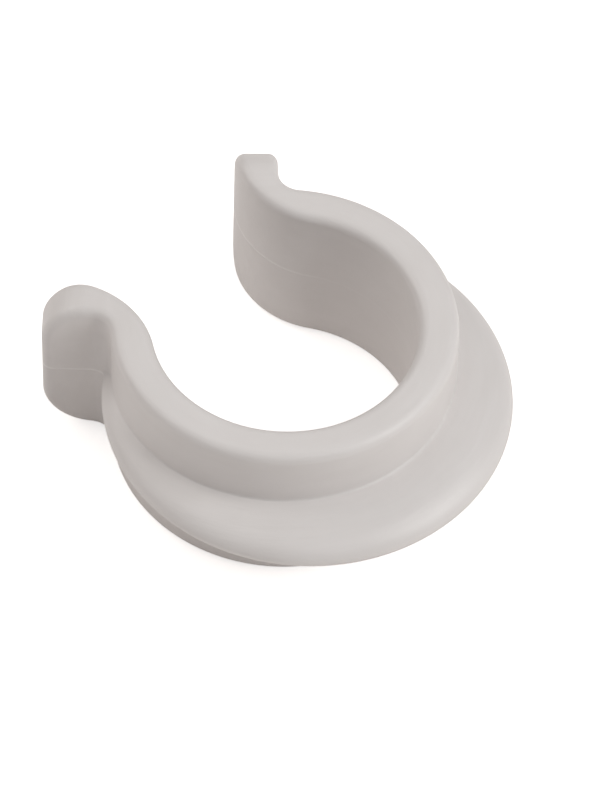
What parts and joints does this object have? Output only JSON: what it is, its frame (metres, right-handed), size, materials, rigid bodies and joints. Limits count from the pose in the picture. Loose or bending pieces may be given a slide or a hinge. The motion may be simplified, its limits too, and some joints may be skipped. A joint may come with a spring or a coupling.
{
  "type": "curtain clip",
  "caption": "Open ring of moulded plastic with lips turned outwards and a crescent rib round the outside. It snaps over a round rod and grips the cloth laid on it.",
  "frame": {"origin": "middle of the bore, halfway across the band", "axes": "+Z along the bore, +X from the bore out through the mouth, +Y across the mouth; the clip is the same above and below the middle of its band and on both sides of X"},
  "size_m": [0.0333, 0.031, 0.014],
  "materials": {
    "clip_plastic": "moulded, warm off-white with a soft sheen"
  },
  "bodies": {
    "root": {"clip": "clip_plastic"}
  },
  "joints": []
}
